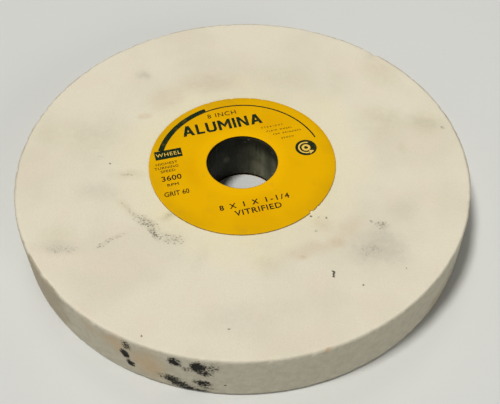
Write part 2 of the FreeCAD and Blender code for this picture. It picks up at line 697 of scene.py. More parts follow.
@dataclass(frozen=True)
class InkFinish:
    """Printing ink that lets a little of the paper through where it has rubbed."""

    name: str
    ink: Tint
    paper: Tint = srgb(240, 178, 0)
    rubbed: float = 0.25
    speck: float = 0.28 * MM
    speck_share: float = 0.7
    patch: float = 4 * MM
    patch_share: float = 0.5
    worn: Span = (0.66, 0.82)
    relief: Span = (0.02 * MM, 0.4)
    roughness: Span = (0.5, 0.65)
    gloss: float = 0.05

    def make(self) -> bpy.types.Material:
        """Build the material.

        Returns:
            The finished material.
        """
        shader = Shader(self.name)
        speck = shader.noise(self.speck, 3)
        patch = shader.noise(self.patch, 2)
        worn = (speck * self.speck_share + patch * self.patch_share).between(*self.worn)
        colour = shader.mix(worn * self.rubbed, self.ink, self.paper)
        normal = shader.bump(speck, *self.relief)
        return shader.finish(colour, speck.onto(*self.roughness), normal, self.gloss)


GREEN_INK = InkFinish("dark_green_ink", srgb(22, 42, 26))
BLACK_INK = InkFinish("black_ink", srgb(26, 28, 16))
BARE_PAPER = InkFinish("bare_paper_lettering", srgb(240, 200, 90), rubbed=0.2)


@dataclass(frozen=True)
class BushFinish:
    """Dark moulded plastic with a pale bloom, scuffed by the spindle; the bloom is painted brighter on
    the sunlit +X side as light and painted darker near the mouth as shade.
    """

    bore: float
    base: float
    dark: Tint = srgb(17, 17, 9)
    # Colour of the bloom, which also carries the painted light on the sunlit side.
    bloomed_and_lit: Tint = srgb(144, 143, 112)
    scuffed: Tint = srgb(132, 128, 110)
    gouged: Tint = srgb(16, 16, 12)
    bloom: Patches = Patches(9, 3, 0.35, 0.7)
    bloom_strength: Span = (0.5, 1.0)
    brushing: Triple = (420, 420, 24)
    brushed: Span = (0.2, 1.3)
    # The next four fields paint light and shade into the bloom: brighter on the sunlit +X side, darker
    # near the mouth.
    sunlit_side: Span = (-5 * MM, 12.5 * MM)
    sunlit: Span = (0.05, 1.0)
    mouth: Span = (22.5 * MM, 17 * MM)
    mouth_shading: Span = (0.2, 1.0)
    scratching: Triple = (700, 700, 60)
    scratched: Span = (0.66, 0.8)
    scratch_share: float = 0.35
    flecks: Patches = Patches(0.9, 2, 0.70, 0.76)
    fleck_share: float = 0.4
    scar_edge: Span = (1.5 * MM, 0.5 * MM)
    scar_share: float = 0.8
    scuffs: tuple[tuple[float, ...], ...] = (
        (61.3, 16.2, 0.3, 1.6, 0.9), (63.5, 13.0, 0.3, 1.4, 0.6), (78.6, 24.0, 0.8, 0.5, 0.9),
        (84.2, 22.0, 0.7, 0.5, 0.6), (118.0, 12.4, 2.6, 3.4, 0.5), (52.0, 7.0, 5.0, 6.0, 0.45),
        (30.0, 22.7, 0.9, 0.7, 0.7),
    )
    gouges: tuple[tuple[float, ...], ...] = ((65.0, 20.4, 0.6, 4.2, 1.0), (95.0, 23.6, 7.0, 1.6, 0.8))
    pitting: float = 0.5 * MM
    scratch_depth: float = 0.6
    relief: Span = (0.05 * MM, 0.45)
    roughness: Span = (0.62, 0.50)
    gloss: float = 0.22

    def make(self) -> bpy.types.Material:
        """Build the material.

        Returns:
            The finished material.
        """
        shader = Shader("scuffed_dark_bush")
        patches = self.bloom.over(shader)
        brushed = shader.noise(1.0, 2, shader.stretched(self.brushing)).onto(*self.brushed)
        # Painted light and shade: the bloom grows toward the sunlit +X side and fades near the mouth of
        # the bore.
        sunlit = shader.along("X").between(*self.sunlit_side).onto(*self.sunlit)
        deep = shader.along("Z").between(*self.mouth).onto(*self.mouth_shading)
        bloom = patches.onto(*self.bloom_strength) * brushed * sunlit * deep
        colour = shader.mix(bloom.capped(), self.dark, self.bloomed_and_lit)
        scratches = shader.noise(1.0, 2, shader.stretched(self.scratching)).between(*self.scratched)
        scuffs = scratches * self.scratch_share + self.flecks.over(shader) * self.fleck_share
        colour = self.scarred(shader, shader.mix(scuffs.capped(), colour, self.scuffed))
        height = shader.noise(self.pitting, 2) - scratches * self.scratch_depth
        normal = shader.bump(height, *self.relief)
        return shader.finish(colour, patches.onto(*self.roughness), normal, self.gloss)

    def scarred(self, shader: Shader, colour: Wire) -> Wire:
        """Lay on the single marks that spindles left.

        Args:
            shader: The material under construction.
            colour: Colour of the scuffed plastic.

        Returns:
            The colour with its pale scuffs and dark gouges.
        """
        at = shader.wander(*self.scar_edge)
        wear = Wear(self.bore, self.base, self.base)
        for rows, tone in ((self.scuffs, self.scuffed), (self.gouges, self.gouged)):
            cover = summed(shader, at, [wear.on_rim(*row) for row in rows])
            colour = shader.mix(cover.capped() * self.scar_share, colour, tone)
        return colour


@dataclass(frozen=True)
class PasteFinish:
    """Dry dextrin paste."""

    pale: Tint = srgb(226, 214, 176)
    brown: Tint = srgb(190, 168, 120)
    smear: float = 3 * MM
    browned: Span = (0.35, 0.7)
    relief: Span = (0.05 * MM, 0.5)
    roughness: Span = (0.4, 0.7)

    def make(self) -> bpy.types.Material:
        """Build the material.

        Returns:
            The finished material.
        """
        shader = Shader("dry_paste")
        smear = shader.noise(self.smear, 4)
        colour = shader.mix(smear.between(*self.browned), self.pale, self.brown)
        normal = shader.bump(smear, *self.relief)
        return shader.finish(colour, smear.onto(*self.roughness), normal)


@dataclass(frozen=True)
class FloorFinish:
    """Pale table top."""

    tone: Tint = srgb(220, 221, 217)
    shade: Tint = srgb(215, 216, 212)
    cloud: float = 90 * MM
    texture: float = 1.2 * MM
    relief: Span = (0.02 * MM, 0.2)
    roughness: Span = (0.62, 0.67)
    gloss: float = 0.3

    def make(self) -> bpy.types.Material:
        """Build the material.

        Returns:
            The finished material.
        """
        shader = Shader("pale_table_top")
        clouds = shader.noise(self.cloud, 2)
        colour = shader.mix(clouds, self.tone, self.shade)
        normal = shader.bump(shader.noise(self.texture, 2), *self.relief)
        return shader.finish(colour, clouds.onto(*self.roughness), normal, self.gloss)


# ---------------------------------------------------------------- mesh building

class Lathe:
    """Builds a closed ring-shaped mesh from loops of points round the axis.

    Loops are added outwards along the underside, up the outside and inwards along the top.
    Neighbouring loops have as many points as each other, or one has twice as many.
    """

    def __init__(self) -> None:
        """Start with no loops."""
        self.loops: list[np.ndarray] = []
        self.normals: list[np.ndarray] = []

    def add(self, radius: float | np.ndarray, height: float, count: int,
            facing: tuple[float, float] = (0.0, 0.0)) -> None:
        """Add one loop.

        Args:
            radius: Distance from the axis, one or one a point.
            height: Height of the loop.
            count: Number of points in the loop.
            facing: Outward direction there, as its parts away from the axis and upwards.
        """
        angles = np.arange(count) * math.tau / count
        cosines, sines, ones = np.cos(angles), np.sin(angles), np.ones(count)
        away, up = facing
        self.loops.append(np.column_stack((radius * cosines, radius * sines, height * ones)))
        self.normals.append(np.column_stack((away * cosines, away * sines, up * ones)))

    def stitch(self, first: int, second: int, starts: list[int]) -> list[tuple[int, ...]]:
        """The faces between two loops.

        Args:
            first: Index of the earlier loop.
            second: Index of the later loop.
            starts: Index of each loop's first point.

        Returns:
            The faces as tuples of point indices, facing outwards.
        """
        near, far = len(self.loops[first]), len(self.loops[second])

        def a(step: int) -> int:
            """Point of the earlier loop, counted round it."""
            return starts[first] + step % near

        def b(step: int) -> int:
            """Point of the later loop, counted round it."""
            return starts[second] + step % far

        faces = []
        for i in range(min(near, far)):
            if near == far:
                faces.append((a(i), a(i + 1), b(i + 1), b(i)))
            elif near == 2 * far:
                faces.append((a(2 * i), a(2 * i + 1), b(i)))
                faces.append((a(2 * i + 1), a(2 * i + 2), b(i + 1)))
                faces.append((a(2 * i + 1), b(i + 1), b(i)))
            else:
                faces.append((a(i), b(2 * i + 1), b(2 * i)))
                faces.append((a(i), a(i + 1), b(2 * i + 1)))
                faces.append((a(i + 1), b(2 * i + 2), b(2 * i + 1)))
        return faces

    def points(self) -> np.ndarray:
        """Every point of every loop, in order."""
        return np.vstack(self.loops)

    def facings(self) -> np.ndarray:
        """The outward direction at every point."""
        return np.vstack(self.normals)

    def mesh(self, name: str, points: np.ndarray | None = None) -> bpy.types.Mesh:
        """Join the loops into a closed, smooth mesh.

        Args:
            name: Name of the mesh.
            points: Moved points, in the order of points(), or None for the plain ones.

        Returns:
            The mesh.
        """
        starts = [0]
        faces = []
        for loop in self.loops[:-1]:
            starts.append(starts[-1] + len(loop))
        for first in range(len(self.loops)):
            faces += self.stitch(first, (first + 1) % len(self.loops), starts)
        placed = self.points() if points is None else points
        mesh = bpy.data.meshes.new(name)
        mesh.from_pydata(placed.tolist(), [], faces)
        mesh.polygons.foreach_set("use_smooth", [True] * len(faces))
        mesh.update()
        return mesh


def steps(start: float, end: float, size: float) -> np.ndarray:
    """Evenly spaced values from start up to but not including end, about size apart."""
    count = max(1, round(abs(end - start) / size))
    return np.linspace(start, end, count, endpoint=False)


def relief(points: np.ndarray, size: float, octaves: int) -> np.ndarray:
    """Fractal height at each point, from about -1 to 1, in lumps about size across."""
    return np.array([noise.fractal(Vector(point) / size, 1.0, 2.0, octaves) for point in points])


def smooth_rise(values: np.ndarray, low: float, high: float) -> np.ndarray:
    """Rise smoothly from 0 at low to 1 at high."""
    share = np.clip((values - low) / (high - low), 0, 1)
    return share * share * (3 - 2 * share)


def polar(radius: float, bearing: float) -> tuple[float, float]:
    """The place at a distance from the middle and a bearing in degrees."""
    angle = math.radians(bearing)
    return radius * math.cos(angle), radius * math.sin(angle)


def set_down(name: str, mesh: bpy.types.Mesh, finish: Finish, slot: str,
             *stands_for: str) -> None:
    """Place a finished piece on the wheel.

    Args:
        name: Name of the piece.
        mesh: Its mesh, in the wheel's frame.
        finish: Its material, or the materials of its zones.
        slot: The record's material slot for it; not used.
        stands_for: The frame's nodes that it is shown in place of.
    """
    for material in finish if isinstance(finish, list) else [finish]:
        mesh.materials.append(material)
    piece = bpy.data.objects.new(name, mesh)
    bpy.context.scene.collection.objects.link(piece)
    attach(piece, BODY)
    if stands_for:
        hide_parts(*stands_for)
    log.info("%s: %d faces", name, len(mesh.polygons))


# ---------------------------------------------------------------- abrasive body

@dataclass(frozen=True)
class Chip:
    """A flake lost from an edge of the body: bearing in degrees, the rest in millimetres."""

    bearing: float
    height: float
    reach: float
    depth: float


@dataclass
class AbrasiveBody:
    """The bonded grain disc, with a worn arris, chips and true surface relief."""

    node: str = "abrasive_wheel"
    slot: str = "bonded_abrasive"
    arris: float = 1.2 * MM
    hole_chamfer: float = 0.4 * MM
    hidden_count: int = 270
    rim_count: int = 1080
    rim_step: float = 0.8 * MM
    face_step: float = 1.55 * MM
    under_step: float = 2.6 * MM
    hidden_step: float = 4 * MM
    arris_steps: int = 5
    paper_margin: float = 0.4 * MM
    smooth_margin: float = 3 * MM
    arris_reach: float = 2.6 * MM
    arris_flank: float = 0.6
    arris_drop: float = 3.2 * MM
    rim_inset: float = 0.2 * MM
    grain: float = 1.3 * MM
    hollow: float = 24 * MM
    crumb: float = 4.5 * MM
    face_roughness: float = 0.07 * MM
    rim_roughness: float = 0.08 * MM
    crumbled_where: Span = (0.05, 0.75)
    crumbled: float = 0.42 * MM
    worn: float = 0.14 * MM
    sheltered: float = 0.35
    raggedness: float = 0.35
    chips: tuple[Chip, ...] = (
        Chip(47.2, 25.4, 2.2, 0.9),
        Chip(-72.2, 25.0, 1.0, 0.4),
        Chip(-143, 25.2, 2.0, 0.5),
        Chip(-131, 25.3, 1.6, 0.4),
        Chip(-125.5, 25.0, 1.4, 0.4),
        Chip(-12, 25.4, 1.4, 0.4),
        Chip(112, 25.4, 1.6, 0.5),
        Chip(20, 0.2, 2.2, 0.6),
        Chip(160, 0.3, 2.6, 0.7),
    )

    def __post_init__(self) -> None:
        """Read the body's size and its neighbours' from the frame."""
        low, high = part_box(self.node)
        self.base, self.top, self.rim = low.z, high.z, high.x
        self.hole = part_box("arbor_bush")[1].x
        self.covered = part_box("front_blotter")[1].x + self.paper_margin

    def face_loops(self, lathe: Lathe, height: float, step: float, facing: float,
                   outwards: bool) -> None:
        """Add the loops of one side, between the hole's chamfer and the arris.

        Args:
            lathe: The mesh under construction.
            height: Height of the side.
            step: Spacing of the loops.
            facing: 1 for the upper side, -1 for the underside.
            outwards: Whether the loops run away from the axis.
        """
        edge = self.rim - self.arris
        finer = edge - 2 * step
        inner = self.hole + self.hole_chamfer
        bands = ((steps(inner, self.covered, self.hidden_step), self.hidden_count),
                 (steps(self.covered, finer, step), self.hidden_count * 2),
                 (steps(finer, edge, step / 2), self.rim_count))
        rings = [(radius, count) for radii, count in bands for radius in radii]
        for radius, count in rings if outwards else reversed(rings):
            lathe.add(radius, height, count, (0.0, facing))

    def arris_loops(self, lathe: Lathe, level: float, start: float) -> None:
        """Add a quarter round of loops at one edge of the rim.

        Args:
            lathe: The mesh under construction.
            level: Height of the rounding's centre.
            start: Angle at which the rounding begins, in radians.
        """
        for step in range(self.arris_steps + 1):
            angle = start + step / self.arris_steps * math.pi / 2
            away, up = math.cos(angle), math.sin(angle)
            lathe.add(self.rim - self.arris + self.arris * away, level + self.arris * up,
                      self.rim_count, (away, up))

    def lathe(self) -> Lathe:
        """The plain turned shape of the body.

        Returns:
            Its loops, ready for relief.
        """
        lathe = Lathe()
        lathe.add(self.hole, self.base + self.hole_chamfer, self.hidden_count)
        self.face_loops(lathe, self.base, self.under_step, -1.0, True)
        self.arris_loops(lathe, self.base + self.arris, -math.pi / 2)
        for height in steps(self.base + self.arris, self.top - self.arris, self.rim_step)[1:]:
            lathe.add(self.rim, height, self.rim_count, (1.0, 0.0))
        self.arris_loops(lathe, self.top - self.arris, 0.0)
        self.face_loops(lathe, self.top, self.face_step, 1.0, False)
        lathe.add(self.hole, self.top - self.hole_chamfer, self.hidden_count)
        return lathe

    def depth(self, points: np.ndarray) -> np.ndarray:
        """How far each point lies inside the plain shape: grain, hollows, worn arris, chips.

        Args:
            points: The points of the plain shape.

        Returns:
            The depth at each point, in metres.
        """
        radius = np.hypot(points[:, 0], points[:, 1])
        height = points[:, 2]
        exposed = smooth_rise(radius, self.covered, self.covered + self.smooth_margin)
        near_edge = smooth_rise(radius, self.rim - self.arris_reach, self.rim - self.arris * 0.5)
        from_side = np.minimum(height - self.base, self.top - height)
        flank = smooth_rise(from_side, self.arris * self.arris_flank, self.arris_drop)
        at_arris = near_edge * (1 - flank)
        at_rim = smooth_rise(radius, self.rim - self.arris, self.rim - self.rim_inset)
        grain = 0.5 + 0.5 * relief(points, self.grain, 3)
        hollows = 0.5 + 0.5 * relief(points, self.hollow, 2)
        crumbling = smooth_rise(relief(points, self.crumb, 3), *self.crumbled_where)
        handled = np.where(height > (self.base + self.top) / 2, 1.0, self.sheltered)
        depth = self.face_roughness * (grain + hollows) + at_rim * self.rim_roughness * grain
        depth += at_arris * handled * (self.crumbled * crumbling + self.worn * grain)
        for chip in self.chips:
            centre = (*polar(self.rim, chip.bearing), self.base + chip.height * MM)
            away = np.linalg.norm(points - centre, axis=1) / (chip.reach * MM)
            ragged = away * (1 + self.raggedness * (grain - 0.5))
            depth += chip.depth * MM * np.clip(1 - ragged ** 2, 0, 1)
        return depth * exposed

    def build(self) -> None:
        """Build, dress and place the body."""
        lathe = self.lathe()
        points = lathe.points()
        worn = points - lathe.facings() * self.depth(points)[:, None]
        mesh = lathe.mesh("grain_body", worn)
        wear = Wear(self.rim, self.base, self.top)
        finishes = [AbrasiveFinish(wear, zone, self.covered).make() for zone in Zone]
        set_down(mesh.name, mesh, finishes, self.slot, self.node)
        mesh.polygons.foreach_set("material_index", self.zones(mesh))

    def zones(self, mesh: bpy.types.Mesh) -> np.ndarray:
        """Share the faces out among the zones.

        Args:
            mesh: The mesh of the body.

        Returns:
            The zone number of each face.
        """
        centres = np.empty(len(mesh.polygons) * 3)
        mesh.polygons.foreach_get("center", centres)
        x, y, _ = centres.reshape(-1, 3).T
        sides = np.where(x < 0, Zone.LEFT.value, Zone.RIGHT.value)
        at_rim = np.hypot(x, y) > self.rim - self.arris
        return np.where(at_rim, Zone.RIM.value, sides).astype(np.int32)


# ---------------------------------------------------------------- bush

@dataclass
class BoreBush:
    """The dark sleeve in the hole, scraped lengthways by spindles."""

    node: str = "arbor_bush"
    slot: str = "bush_plastic"
    chamfer: float = 0.5 * MM
    count: int = 360
    step: float = 0.8 * MM
    groove: float = 0.9 * MM
    drawn_out: float = 0.09
    grooved: Span = (0.1, 0.7)
    scrape: float = 0.07 * MM

    def build(self) -> None:
        """Build, dress and place the bush."""
        low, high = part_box(self.node)
        outside, mouth = high.x, BORE_RADIUS + self.chamfer
        lathe = Lathe()
        lathe.add(BORE_RADIUS, low.z + self.chamfer, self.count)
        for radius, height in ((mouth, low.z), (outside, low.z), (outside, high.z), (mouth, high.z)):
            lathe.add(radius, height, self.count)
        for height in steps(high.z - self.chamfer, low.z + self.chamfer, self.step):
            lathe.add(BORE_RADIUS, height, self.count, (1.0, 0.0))
        points = lathe.points()
        lengthways = points * np.array((1.0, 1.0, self.drawn_out))
        grooves = smooth_rise(relief(lengthways, self.groove, 2), *self.grooved)
        scraped = points + lathe.facings() * (grooves * self.scrape)[:, None]
        mesh = lathe.mesh("bore_bush", scraped)
        finish = BushFinish(BORE_RADIUS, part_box("abrasive_wheel")[0].z)
        set_down(mesh.name, mesh, finish.make(), self.slot, self.node)


# ---------------------------------------------------------------- blotters

class Side(Enum):
    """A side of the wheel, by the word that starts its names."""

    FRONT = "front"
    BACK = "back"

    def stand(self, level: float) -> Matrix:
        """Turn a piece drawn with its outer face up so that it lies on this side."""
        turn = 0.0 if self is Side.FRONT else math.pi
        return Matrix.Translation((0, 0, level)) @ Matrix.Rotation(turn, 4, "X")


@dataclass(frozen=True)
class Nick:
    """A tear in the paper's edge: bearing and half width in degrees, depth in millimetres."""

    bearing: float
    half_width: float
    depth: float


@dataclass
class Blotter:
    """A paper ring, dished a little over the recessed bush and nicked round its edge."""

    side: Side
    material: bpy.types.Material
    slot: str = "blotter_paper"
    count: int = 720
    dish: float = 0.16 * MM
    dish_reach: float = 2.2 * MM
    dish_width: float = 4.5 * MM
    dish_step: float = 0.6 * MM
    edge: float = 0.06 * MM
    step: float = 1.6 * MM
    ragged: float = 0.07 * MM
    ragged_bays: float = 0.05
    nick_shape: float = 0.7
    nicks: tuple[Nick, ...] = (
        Nick(-46.2, 1.3, 1.0),
        Nick(-41.0, 0.7, 0.3),
        Nick(112, 0.9, 0.35),
        Nick(103, 0.7, 0.25),
        Nick(96, 1.1, 0.40),
        Nick(84, 0.8, 0.30),
        Nick(76, 1.0, 0.45),
        Nick(63, 0.6, 0.25),
    )

    def __post_init__(self) -> None:
        """Read the paper's size from the frame."""
        self.node = f"{self.side.value}_blotter"
        low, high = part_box(self.node)
        self.radius, self.thickness = high.x, high.z - low.z
        self.pasted_level = low.z if self.side is Side.FRONT else high.z

    def inset(self) -> np.ndarray:
        """How far the cut edge lies inside the true circle.

        Returns:
            The inset at each point round the edge, in metres.
        """
        angles = np.arange(self.count) * math.tau / self.count
        around = np.column_stack((np.cos(angles), np.sin(angles), np.zeros(self.count)))
        inset = self.ragged * (0.5 + 0.5 * relief(around, self.ragged_bays, 3))
        for nick in self.nicks:
            off = np.degrees(np.angle(np.exp(1j * (angles - math.radians(nick.bearing)))))
            share = np.clip(1 - np.abs(off) / nick.half_width, 0, 1)
            inset += nick.depth * MM * share ** self.nick_shape
        return inset

    def build(self) -> None:
        """Build, dress and place the blotter."""
        trimmed = self.radius - self.inset()
        hole, dished = PAPER_HOLE_RADIUS, PAPER_HOLE_RADIUS + self.dish_width
        lathe = Lathe()
        lathe.add(hole, 0.0, self.count)
        lathe.add(trimmed, 0.0, self.count)
        lathe.add(trimmed, self.thickness - self.edge, self.count)
        lathe.add(trimmed - self.edge, self.thickness, self.count)
        for radius in steps(self.radius - self.step, dished, self.step):
            lathe.add(radius, self.thickness, self.count)
        for radius in steps(dished, hole, self.dish_step):
            sunk = self.dish * math.exp(-(((radius - hole) / self.dish_reach) ** 2))
            lathe.add(radius, self.thickness - sunk, self.count)
        lathe.add(hole, self.thickness - self.dish - self.edge, self.count)
        mesh = lathe.mesh(f"{self.node}_paper")
        mesh.transform(self.side.stand(self.pasted_level))
        set_down(mesh.name, mesh, self.material, self.slot, self.node)


# ---------------------------------------------------------------- print

@dataclass(frozen=True)
class Line:
    """One line of print, in millimetres from the label's centre."""

    text: str
    tall: float
    x: float
    y: float
    weight: float = 0.0
    squeeze: float = 1.0
    spacing: float = 1.0


class Lettering(Enum):
    """Outlines of heavy plain capitals, 7 units tall, each as its width and its loops."""

    A = (6.2, (((0, 0), (1.7, 0), (2.17, 1.5), (4.03, 1.5), (4.5, 0), (6.2, 0), (4.0, 7), (2.2, 7)),
               ((2.58, 2.8), (3.62, 2.8), (3.1, 4.46))))
    I = (1.5, (((0, 0), (1.5, 0), (1.5, 7), (0, 7)),))
    L = (4.3, (((0, 0), (4.3, 0), (4.3, 1.35), (1.5, 1.35), (1.5, 7), (0, 7)),))
    M = (6.8, (((0, 0), (1.5, 0), (1.5, 4.3), (3.4, 1.5), (5.3, 4.3), (5.3, 0), (6.8, 0), (6.8, 7),
                (5.4, 7), (3.4, 4.0), (1.4, 7), (0, 7)),))
    N = (5.7, (((0, 0), (1.5, 0), (1.5, 4.5), (4.1, 0), (5.7, 0), (5.7, 7), (4.2, 7), (4.2, 2.5),
                (1.6, 7), (0, 7)),))
    U = (5.5, (((0, 7), (0, 1.2), (1.2, 0), (4.3, 0), (5.5, 1.2), (5.5, 7), (4.0, 7), (4.0, 1.8),
                (3.55, 1.35), (1.95, 1.35), (1.5, 1.8), (1.5, 7)),))

    @property
    def width(self) -> float:
        """How wide the capital is."""
        return self.value[0]

    @property
    def loops(self) -> tuple[tuple[tuple[float, float], ...], ...]:
        """Its outline and then the outlines of its holes."""
        return self.value[1]


CAPITAL_UNITS = 7
SHORTEST_EDGE = 1e-9
FEWEST_STEPS = 8
Flat = tuple[np.ndarray, list[tuple[int, ...]]]


def filled(curve: bpy.types.Curve) -> Flat:
    """The flat shape that a closed curve or a line of lettering encloses.

    Args:
        curve: The curve, which is used up.

    Returns:
        The shape's points in the plane, and its faces as anticlockwise tuples of indices.
    """
    holder = bpy.data.objects.new(curve.name, curve)
    bpy.context.scene.collection.objects.link(holder)
    graph = bpy.context.evaluated_depsgraph_get()
    shape = bpy.data.meshes.new_from_object(holder.evaluated_get(graph))
    points = np.array([vertex.co[:2] for vertex in shape.vertices])
    faces = [tuple(face.vertices) if face.normal.z > 0 else tuple(face.vertices)[::-1]
             for face in shape.polygons]
    bpy.data.meshes.remove(shape)
    bpy.data.objects.remove(holder)
    bpy.data.curves.remove(curve)
    return points, faces


def outline_edges(faces: list[tuple[int, ...]]) -> list[tuple[int, int]]:
    """The directed edges that only one face has."""
    edges = {(face[i - 1], face[i]) for face in faces for i in range(len(face))}
    return sorted(edge for edge in edges if edge[::-1] not in edges)


def emboldened(flat: Flat, amount: float) -> Flat:
    """Push a flat shape's outline outwards everywhere by the same amount.

    Args:
        flat: The shape.
        amount: How far to push it, in the shape's own units.

    Returns:
        The bolder shape.
    """
    points, faces = flat
    outward = np.zeros_like(points)
    for start, end in outline_edges(faces):
        along = points[end] - points[start]
        side = np.array((along[1], -along[0])) / max(np.linalg.norm(along), SHORTEST_EDGE)
        outward[start] += side
        outward[end] += side
    length = np.maximum((outward ** 2).sum(1), 1.0)
    return points + outward * (2 * amount / length)[:, None], faces


def arc(radius: float, start: float, end: float, degrees_a_step: float = 2.5) -> np.ndarray:
    """Points along an arc round the middle, between two bearings in degrees."""
    count = max(FEWEST_STEPS, round(abs(end - start) / degrees_a_step))
    return np.array([polar(radius, bearing) for bearing in np.linspace(start, end, count + 1)])


class InkSheet:
    """Collects flat ink shapes as thin closed solids, drawn in millimetres."""

    def __init__(self, name: str, thickness: float) -> None:
        """Start an empty sheet.

        Args:
            name: Name of the piece that it becomes.
            thickness: Thickness of the ink, in millimetres.
        """
        self.name = name
        self.thickness = thickness
        self.points: list[tuple[float, float, float]] = []
        self.faces: list[tuple[int, ...]] = []

    def raise_shape(self, flat: Flat) -> None:
        """Give a flat shape its thickness and add it to the sheet.

        Args:
            flat: The shape, in millimetres.
        """
        points, faces = flat
        under = len(self.points)
        over = under + len(points)
        for level in (0.0, self.thickness):
            self.points += [(x, y, level) for x, y in points]
        self.faces += [tuple(over + i for i in face) for face in faces]
        self.faces += [tuple(under + i for i in reversed(face)) for face in faces]
        self.faces += [(under + a, under + b, over + b, over + a) for a, b in outline_edges(faces)]

    def polygon(self, corners: np.ndarray) -> None:
        """Add a flat shape with straight edges, its corners given anticlockwise."""
        self.raise_shape((corners, [tuple(range(len(corners)))]))

    def sector(self, inner: float, outer: float, start: float, end: float,
               centre: tuple[float, float]) -> None:
        """Add a curved band.

        Args:
            inner: Inner radius.
            outer: Outer radius.
            start: Bearing of one end, in degrees.
            end: Bearing of the other end, in degrees, a full turn on for a whole ring.
            centre: Centre of the band.
        """
        sides = [arc(radius, start, end) for radius in (inner, outer)]
        count = len(sides[0]) - 1
        if end - start >= FULL_TURN:
            sides = [side[:-1] for side in sides]
        shown = len(sides[0])
        faces = [(step, shown + step, shown + (step + 1) % shown, (step + 1) % shown)
                 for step in range(count)]
        self.raise_shape((np.vstack(sides) + centre, faces))

    def heading(self, line: Line) -> None:
        """Add a line of heavy capitals, centred on its place.

        Args:
            line: The line, made of letters that Lettering has.
        """
        letters = [Lettering[letter] for letter in line.text]
        scale = line.tall / CAPITAL_UNITS
        total = sum(letter.width + line.spacing for letter in letters) - line.spacing
        start = -total / 2
        for letter in letters:
            curve = bpy.data.curves.new(self.name, "CURVE")
            curve.dimensions = "2D"
            curve.fill_mode = "BOTH"
            for loop in letter.loops:
                spline = curve.splines.new("POLY")
                spline.points.add(len(loop) - 1)
                for point, (x, y) in zip(spline.points, loop):
                    point.co = (line.x + (x + start) * scale * line.squeeze,
                                line.y + (y - CAPITAL_UNITS / 2) * scale, 0, 1)
                spline.use_cyclic_u = True
            self.raise_shape(filled(curve))
            start += letter.width + line.spacing

    def write(self, line: Line, cap_share: float = 0.69, curve_steps: int = 4) -> None:
        """Add one line of plain upright lettering, centred on its place.

        Args:
            line: The line.
            cap_share: Height of a capital in the typeface for a size of 1.
            curve_steps: Straight steps in each curved part of a letter.
        """
        curve = bpy.data.curves.new(self.name, "FONT")
        curve.body = line.text
        curve.size = line.tall / cap_share
        curve.space_character = line.spacing
        curve.resolution_u = curve_steps
        points, faces = filled(curve)
        middle = (points.min(0) + points.max(0)) / 2
        placed = (points - middle) * (line.squeeze, 1) + (line.x, line.y)
        self.raise_shape(emboldened((placed, faces), line.weight * line.tall))

    def mesh(self, stand: Matrix) -> bpy.types.Mesh:
        """Join the shapes in one mesh.

        Args:
            stand: Where the sheet goes on the wheel.

        Returns:
            The mesh, in metres.
        """
        mesh = bpy.data.meshes.new(self.name)
        mesh.from_pydata(self.points, [], self.faces)
        mesh.update()
        mesh.transform(stand @ Matrix.Scale(MM, 4))
        return mesh


